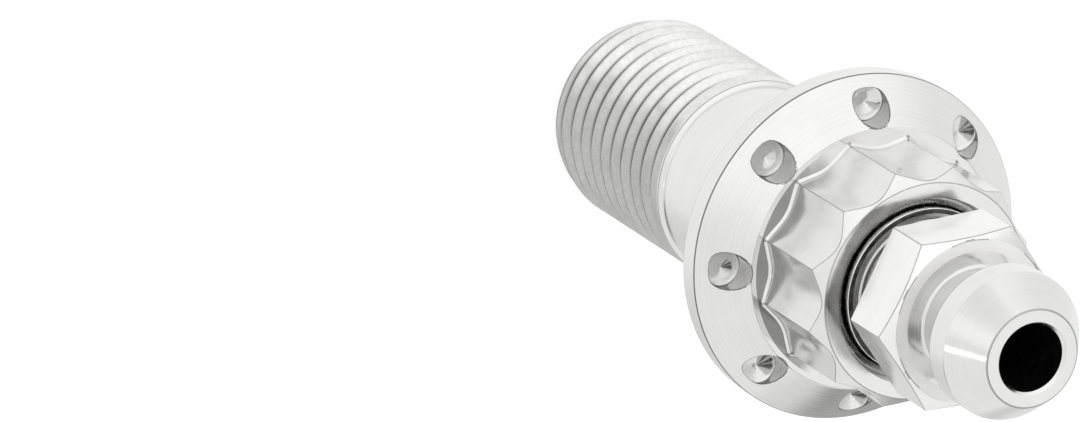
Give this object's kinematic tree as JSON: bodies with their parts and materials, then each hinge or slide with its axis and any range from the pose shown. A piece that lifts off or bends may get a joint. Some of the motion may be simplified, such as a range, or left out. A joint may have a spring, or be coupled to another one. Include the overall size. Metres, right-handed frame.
{
  "type": "banjo bolt with bleed nipple",
  "caption": "Twelve-point flanged banjo bolt with a drilled flange, a threaded shank and a bleed nipple with a hose barb screwed into its head.",
  "frame": {"origin": "centre of the flat threaded end face, which is the lowest face as the bolt stands", "axes": "+Z along the bolt's axis from the threaded end to the nose of the nipple; +X and +Y are any two directions across it, set so that the first point of the twelve-point head lies 20.5 degrees from +X towards +Y"},
  "size_m": [0.0166, 0.0166, 0.0378],
  "materials": {
    "bolt_steel": "polished",
    "nipple_steel": "polished"
  },
  "bodies": {
    "bolt": {"banjo_bolt": "bolt_steel"},
    "nipple": {"bleed_nipple": "nipple_steel"}
  },
  "joints": [
    {"name": "nipple_turn", "type": "hinge", "parent": "bolt", "child": "nipple", "pos_m": [0, 0, 0.02785], "axis": [0, 0, 1], "range_deg": [0, 270]}
  ]
}
